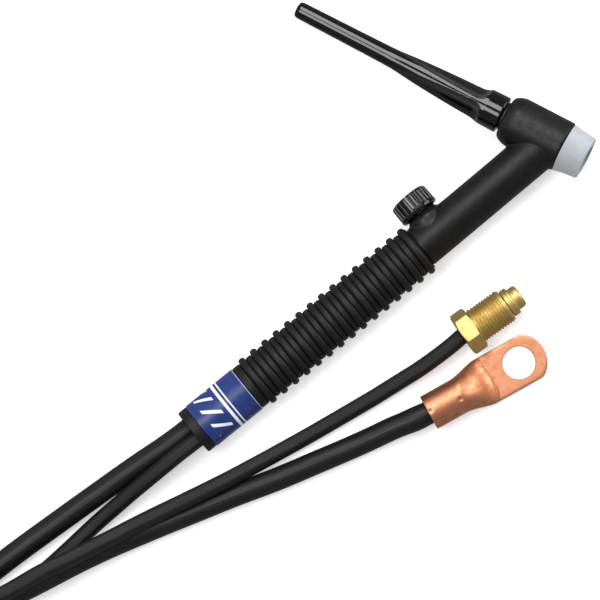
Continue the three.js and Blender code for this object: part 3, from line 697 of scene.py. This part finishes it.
def thread(start, end, pitch, depth, crest):
    """A radius function for a right-hand V thread between two places along the axis.
    A negative depth cuts it outwards, into the wall of a bore."""
    def shape(x, radius, angles):
        if not start < x < end or abs(radius - crest) > 0.4:
            return np.full(len(angles), float(radius))
        phase = np.mod(x / pitch - angles / (2 * math.pi), 1.0)
        groove = np.clip(1.25 - 2.5 * np.abs(phase - 0.5), 0, 1)
        fade = ease((x - start) / (0.7 * pitch)) * ease((end - x) / (0.7 * pitch))
        return radius - depth * groove * fade
    return shape


core = turned("head_core_turned", HEAD, along([
    (4, 0), (4, 5), (-5.6, 5), (-6, 5.3), (-6, 6.6), (-5.6, 7), (18.7, 7), (18.7, 5.6), (8, 5.6),
    (8, 0)], 0.25), 72, soft=0, shape=thread(-5, 3.5, 1.27, -0.5, 5))
finish_piece(core, "torch", "brass", BRASS, "head_core")


# ---------------------------------------------------------------- back cap
CAP_RADIUS = 8.1
CAP_FLATS = 3
FLAT_START, FLAT_RAMP, FLAT_DISTANCE = 31.0, 5.0, 4.35
FLAT_HOLLOW = 0.7
HOLLOW_END, HOLLOW_FADE = 72, 30
RISE_START, RISE = 68, 0.006
STEM_RADIUS = 4.0


def cap_flats(x, radius, angles):
    """Three slightly hollow flats along the tapered tube, each with a rounded end at the collar.
    They run out where the tube narrows to the stem."""
    if x < FLAT_START or radius < STEM_RADIUS:
        return np.full(len(angles), float(radius))
    away = np.mod(angles - math.pi / 2, 2 * math.pi / CAP_FLATS) - math.pi / CAP_FLATS
    left = max(FLAT_START + FLAT_RAMP - x, 0) / FLAT_RAMP
    sunk = math.sqrt(max(1 - left * left, 0))
    floor = CAP_RADIUS - (CAP_RADIUS - FLAT_DISTANCE) * sunk
    hollow = FLAT_HOLLOW * sunk * ease((HOLLOW_END - x) / HOLLOW_FADE)
    floor = floor / np.cos(away) - hollow * np.cos(CAP_FLATS / 2 * away) ** 2
    floor += RISE * max(x - RISE_START, 0) ** 2
    return smooth_least(np.full(len(angles), float(radius)), floor, 0.2)


cap_body = turned("back_cap_moulding", HEAD, along([
    (31, 0), (31, 5.3), (22.5, 5.3), (22.5, 7.5), (22.7, 7.95), (23.1, CAP_RADIUS), (30, 7.97),
    (37, 7.38), (44, 6.95), (50, 6.5), (56, 6), (62, 5.45), (68, 4.85), (71.5, 4.5), (74, 4.3),
    (78, 4.15), (96, 3.93), (120.4, 3.7), (121.3, 3.5), (121.85, 3.1), (122.1, 2.2), (122.2, 0)],
    0.3), 288, soft=0, shape=cap_flats, angle=30)
finish_piece(cap_body, "cap", "gloss_black", cap_plastic(), "back_cap")
insert = turned("cap_insert_turned", HEAD, along([
    (9, 2), (9, 4.8), (9.4, 5.2), (20, 5.2), (20.1, 4.6), (22.8, 4.6), (23, 5), (30.7, 5),
    (30.7, 2), (9, 2)], 0.25), 72, soft=0, shape=thread(9.6, 19.6, 1.0, 0.45, 5.2))
finish_piece(insert, "cap", "brass", BRASS, "cap_insert")


def o_ring(name, place, major, minor, x, body, node):
    profile = [(x + minor * math.sin(a), major - minor * math.cos(a))
               for a in np.linspace(0, 2 * math.pi, 21)]
    ring = turned(name, place, profile, 96, soft=0)
    finish_piece(ring, body, "seal_rubber", BLACK_SEAL, node)


o_ring("cap_seal_ring", HEAD, 5.4, 0.85, 21.6, "cap_seal", "cap_o_ring")
o_ring("stem_seal_ring", VALVE, 2.3, 0.5, 7, "valve_seal", "stem_o_ring")


# ---------------------------------------------------------------- gas valve knob
KNOB_FLUTES = 20
KNOB_FLOOR = 7.95
FLUTE_START = 13.0
# Half the width of a flute, and the width of its edge, as shares of the distance between flutes
FLUTE_SHARE, FLUTE_EDGE = 0.235, 0.07


def knob_flutes(x, radius, angles):
    """Grooves along the rim, from the plain collar to the top."""
    if x < FLUTE_START or radius < KNOB_FLOOR:
        return np.full(len(angles), float(radius))
    phase = np.abs(np.mod(angles * KNOB_FLUTES / (2 * math.pi), 1.0) - 0.5)
    groove = np.clip((FLUTE_SHARE - phase) / FLUTE_EDGE + 0.5, 0, 1)
    groove = groove * groove * (3 - 2 * groove)
    return radius - (radius - KNOB_FLOOR) * groove * ease((x - FLUTE_START) / 0.35)


knob = turned("valve_knob_moulding", VALVE, along(softened([
    (17.8, 0), (17.8, 2.5), (11.5, 2.5), (11.5, 4), (14.5, 4), (14.5, 7.6), (11.5, 7.6),
    (11.5, 8.65), (12.75, 8.9), (12.85, 8.72), (19.1, 8.72), (19.8, 8.3), (20.2, 7.4),
    (20.35, 5), (20.35, 0)], 0.2), 0.3), 320, soft=0, shape=knob_flutes, angle=45)
finish_piece(knob, "valve", "gloss_black", GLOSS_KNOB, "valve_knob")


# ---------------------------------------------------------------- gas fitting
ACROSS_FLATS = 17.5
CORNER_ANGLE = math.radians(-7.4)
HEX_LENGTH = 7.1
THREAD_START, THREAD_END, THREAD_PITCH = 7.6, 21.9, 1.41
THREAD_CREST, THREAD_DEPTH = 7.95, 0.72


nut_thread = thread(THREAD_START, THREAD_END, THREAD_PITCH, THREAD_DEPTH, THREAD_CREST)


def nut_shape(x, radius, angles):
    """Six flats on the head of the nut and a thread on the rest."""
    if x <= HEX_LENGTH + 0.01:
        sector = np.mod(angles - CORNER_ANGLE, math.pi / 3) - math.pi / 6
        flats = ACROSS_FLATS / 2 / np.cos(sector)
        return smooth_least(np.full(len(angles), float(radius)), flats, 0.1)
    return nut_thread(x, radius, angles)


nut = turned("union_nut", FITTING, along([
    (0, 5), (0, 8.55), (0.85, 10.15), (6.25, 10.15), (HEX_LENGTH, 8.6), (HEX_LENGTH + 0.05, 7.3),
    (7.6, 7.3), (7.65, THREAD_CREST), (21.85, THREAD_CREST), (21.95, 7.3), (22.8, 7.3), (23, 7.1),
    (23, 5), (0, 5)], 0.13), 180, soft=0, shape=nut_shape, angle=38)
finish_piece(nut, "nut", "brass", BRASS, "gas_nut")
nipple = turned("gas_nipple_turned", FITTING, [
    (12.3, 1.6), (12.3, 3.2), (23.3, 3.2), (23.3, 6.1), (23.5, 6.4), (24.7, 6.4), (24.85, 6.2),
    (25.05, 6.2), (25.2, 6.4), (26.1, 6.4), (26.4, 6.1), (26.5, 5.2), (27.2, 5.0), (28.4, 5.15),
    (29.6, 5.0), (30.3, 4.5), (30.5, 3.6), (30.5, 2.2), (30.1, 1.6), (12.3, 1.6)], 96, soft=0.15)
finish_piece(nipple, "torch", "brass", BRASS, "gas_nipple")


# ---------------------------------------------------------------- ring lug
LUG_RADIUS = 7.8
PAD_HALF = 10.4
PAD_HIGH = 3.2
EYE_X, EYE_REACH, EYE_RADIUS = 44.0, 12.2, 7.1
PRESS_START, PRESS_END = 15.5, 28.6
PRESS_SLOPE, PRESS_STEP, STEP_LENGTH = 0.93, 0.07, 0.45
PRESS_BOW = 2.6
SQUARENESS = 0.84
DENTS = ((1.0, 0.3), (14.6, -1.7))
DENT_DEPTH, DENT_RADIUS = 0.55, 0.8


def lug_section(x, sides):
    """The closed outline of the pressed tube at a place along it, bowed forward in its middle."""
    pressed = PRESS_SLOPE * ease((x - PRESS_START) / (PRESS_END - PRESS_START))
    pressed += PRESS_STEP * ease((x - PRESS_END) / STEP_LENGTH)
    widening = ease((x - PRESS_START + 1.5) / (PRESS_END - PRESS_START + 1))
    half = LUG_RADIUS + (PAD_HALF - LUG_RADIUS) * widening
    if x > EYE_X:
        eye = math.sqrt(max(EYE_REACH ** 2 - (x - EYE_X) ** 2, 0))
        half = float(smooth_least(np.array(half), np.array(eye), 0.9))
    high = LUG_RADIUS + (PAD_HIGH / 2 - LUG_RADIUS) * pressed
    square = 1 - SQUARENESS * pressed ** 1.5
    angles = 2 * math.pi * np.arange(sides) / sides
    y = half * np.sign(np.cos(angles)) * np.abs(np.cos(angles)) ** square
    z = high + high * np.sign(np.sin(angles)) * np.abs(np.sin(angles)) ** square
    near_edge = ease((x - PRESS_START) / 8) * ease((PRESS_END + 9 - x) / 9)
    bow = PRESS_BOW * (1 - (y / max(half, 0.1)) ** 2) * near_edge
    return np.stack([x + bow, y, z], axis=1)


def lug_dents(points):
    """The two small marks that the crimping tool leaves on top of the barrel."""
    for x, y in DENTS:
        away = np.hypot(points[:, 0] - x, points[:, 1] - y)
        top = points[:, 2] > LUG_RADIUS
        points[:, 2] -= np.where(top, DENT_DEPTH * np.exp(-(away / DENT_RADIUS) ** 2), 0)


def lug_mesh():
    sides = 128
    straight = np.concatenate([np.arange(0, 17, 0.3), np.arange(17, 44, 0.35)])
    eye = EYE_X + (EYE_REACH - 0.01) * np.sin(np.linspace(0, math.pi / 2, 60))
    rows = [lug_section(x, sides) for x in np.concatenate([straight, eye])]
    rows[0][:, 1:] = (rows[0][:, 1:] - (0, LUG_RADIUS)) * 0.97 + (0, LUG_RADIUS)
    points = np.concatenate(rows)
    lug_dents(points)
    faces = [tuple(range(sides))]
    for i in range(len(rows) - 1):
        for k in range(sides):
            n = (k + 1) % sides
            faces.append((i * sides + k, i * sides + n, (i + 1) * sides + n, (i + 1) * sides + k))
    faces.append(tuple((len(rows) - 1) * sides + k for k in range(sides)))
    piece = mesh_piece("ring_lug_pressed", points, faces, LUG)
    barrel_axis = LUG @ slide(0, 0, LUG_RADIUS)
    bore = loose_solid(barrel_axis, [(-1, 0), (-1, 6.3), (0.3, 5.9), (16.5, 5.9), (16.5, 0)])
    combine(piece, bore, "DIFFERENCE")
    eye_axis = LUG @ slide(EYE_X) @ turn(-math.pi / 2, "Y")
    hole = loose_solid(eye_axis, [
        (-1, 0), (-1, EYE_RADIUS + 0.6), (0, EYE_RADIUS + 0.15), (0.3, EYE_RADIUS),
        (PAD_HIGH - 0.3, EYE_RADIUS), (PAD_HIGH, EYE_RADIUS + 0.2), (4.5, EYE_RADIUS + 1.2),
        (4.5, 0)], 128)
    combine(piece, hole, "DIFFERENCE")
    mark_places(piece, LUG)
    piece.data.shade_smooth()
    piece.data.set_sharp_from_angle(angle=math.radians(42))
    return piece


lug = lug_mesh()
finish_piece(lug, "torch", "copper", COPPER, "ring_lug")


# ---------------------------------------------------------------- ties of the coil
TIES = {"coil_tie_a": 110, "coil_tie_b": 250}
TIE_INNER, TIE_OUTER, TIE_TOP = 28.95, 82.15, 36.8
TIE_THICKNESS, TIE_HALF_WIDTH, TIE_CORNER = 1.2, 8.0, 3.0
TIE_SECTION = [(-0.5, -0.96), (-0.2, -1), (0.2, -1), (0.5, -0.96), (0.5, 0.96), (0.2, 1), (-0.2, 1),
               (-0.5, 0.96)]


def tie_path():
    """Middle line of the strap in an upright plane: distance from the coil's centre, height, and the
    direction outwards."""
    low, corner = TIE_THICKNESS / 2, TIE_CORNER
    centres = [(TIE_OUTER - corner, low + corner, -90), (TIE_OUTER - corner, TIE_TOP - corner, 0),
               (TIE_INNER + corner, TIE_TOP - corner, 90), (TIE_INNER + corner, low + corner, 180)]
    path = []
    for x, z, start in centres:
        for angle in np.radians(np.linspace(start, start + 90, 9)):
            path.append((x + corner * math.cos(angle), z + corner * math.sin(angle),
                         math.cos(angle), math.sin(angle)))
    return path


def tie_strap(name, angle):
    """A closed loop of webbing. TIE_SECTION holds shares of its thickness and of its half-width."""
    points, marks, faces = [], [], []
    path = tie_path()
    far = 0.0
    for i, (x, z, nx, nz) in enumerate(path):
        if i:
            far += math.hypot(x - path[i - 1][0], z - path[i - 1][1])
        for depth, width in TIE_SECTION:
            points.append((x + nx * depth * TIE_THICKNESS, width * TIE_HALF_WIDTH,
                           z + nz * depth * TIE_THICKNESS))
            marks.append((far, width * TIE_HALF_WIDTH, depth))
    count, size = len(path), len(TIE_SECTION)
    for i in range(count):
        for k in range(size):
            n, j = (k + 1) % size, (i + 1) % count
            faces.append((i * size + k, i * size + n, j * size + n, j * size + k))
    place = BENCH @ slide(*COIL_CENTRE) @ turn(math.radians(angle), "Z")
    return mesh_piece(name + "_strap", points, faces, place, marks)


WEAVE = strap_weave()
straps = [finish_piece(tie_strap(name, angle), "torch", "tie_strap", WEAVE, name)
          for name, angle in TIES.items()]


# ---------------------------------------------------------------- inner metal parts
INNER_BRASS = brass(False)
INNER_COPPER = copper(False)
# These nodes are shown with the shape that they have in the CAD
INNER_LOOKS = {
    "rear_block": INNER_BRASS, "valve_body": INNER_BRASS, "valve_stem": INNER_BRASS,
    "gas_barb": INNER_BRASS, "hose_ferrule": INNER_BRASS, "nipple_ferrule": INNER_BRASS,
    "rear_tube": INNER_COPPER, "neck_tube": INNER_COPPER, "power_ferrule": INNER_COPPER,
    "conductor": INNER_COPPER, "lug_conductor": INNER_COPPER,
}
for node, look in INNER_LOOKS.items():
    NODES[node].data.materials.clear()
    NODES[node].data.materials.append(look)


# ---------------------------------------------------------------- floor, light
FLOOR_HALF = 3.0
FLOOR_DROP = 0.0002
WORLD_BRIGHTNESS = 0.32
LIGHT_DISTANCE = 1.2
LIGHT_TARGET = (0.03, 0.03, 0)
ACROSS_CAP = Vector((0.919, 0.389, 0))
ALONG_CAP = Vector((-0.389, 0.921, 0))
SHIFT_ALONG_CAP = 0.29


def floor_paper():
    """White paper that glows slightly, so that it stays white around the object."""
    look = Look("floor_paper", False)
    color = look.ramp(look.noise(60, 2), 0.3, 0.7, (0.93, 0.93, 0.93), (0.95, 0.95, 0.95))
    return look.done(color, 0.8, Emission_Color=(1, 1, 1, 1), Emission_Strength=0.45)


def make_floor():
    mesh = bpy.data.meshes.new("floor")
    size = FLOOR_HALF
    corners = [(-size, -size, 0), (size, -size, 0), (size, size, 0), (-size, size, 0)]
    mesh.from_pydata(corners, [], [(0, 1, 2, 3)])
    floor = bpy.data.objects.new("floor", mesh)
    bpy.context.scene.collection.objects.link(floor)
    floor.location.z = -FLOOR_DROP
    mesh.materials.append(floor_paper())
    floor.visible_glossy = False


def make_light(name, place, target, size, power):
    data = bpy.data.lights.new(name, "AREA")
    data.shape = "RECTANGLE"
    data.size, data.size_y = size
    data.energy = power
    light = bpy.data.objects.new(name, data)
    bpy.context.scene.collection.objects.link(light)
    light.location = place
    light.rotation_mode = "QUATERNION"
    light.rotation_quaternion = (Vector(target) - Vector(place)).to_track_quat("-Z", "Y")


def overhead(name, lean, size, power):
    """A soft box above the bench that leans from straight up across the back cap."""
    place = ACROSS_CAP * math.sin(lean) + ALONG_CAP * SHIFT_ALONG_CAP + Vector((0, 0, math.cos(lean)))
    place *= LIGHT_DISTANCE
    make_light(name, place, LIGHT_TARGET, size, power)


def make_light_set():
    world = bpy.data.worlds.new("studio")
    bpy.context.scene.world = world
    world.use_nodes = True
    background = world.node_tree.nodes["Background"]
    background.inputs["Color"].default_value = (1, 1, 1, 1)
    background.inputs["Strength"].default_value = WORLD_BRIGHTNESS
    overhead("soft_box_a", math.radians(31), (0.46, 0.80), 10.0)
    overhead("soft_box_b", math.radians(-14), (0.46, 0.56), 6.6)
    make_light("far_card", Vector((1.1, -0.1, 0.4)), (0, 0, 0), (0.7, 0.8), 7)
    make_light("back_card", Vector((-0.6, 1.0, 0.45)), (0, 0, 0), (0.9, 0.7), 1.6)


make_floor()
make_light_set()
bpy.context.scene.view_settings.view_transform = "Standard"
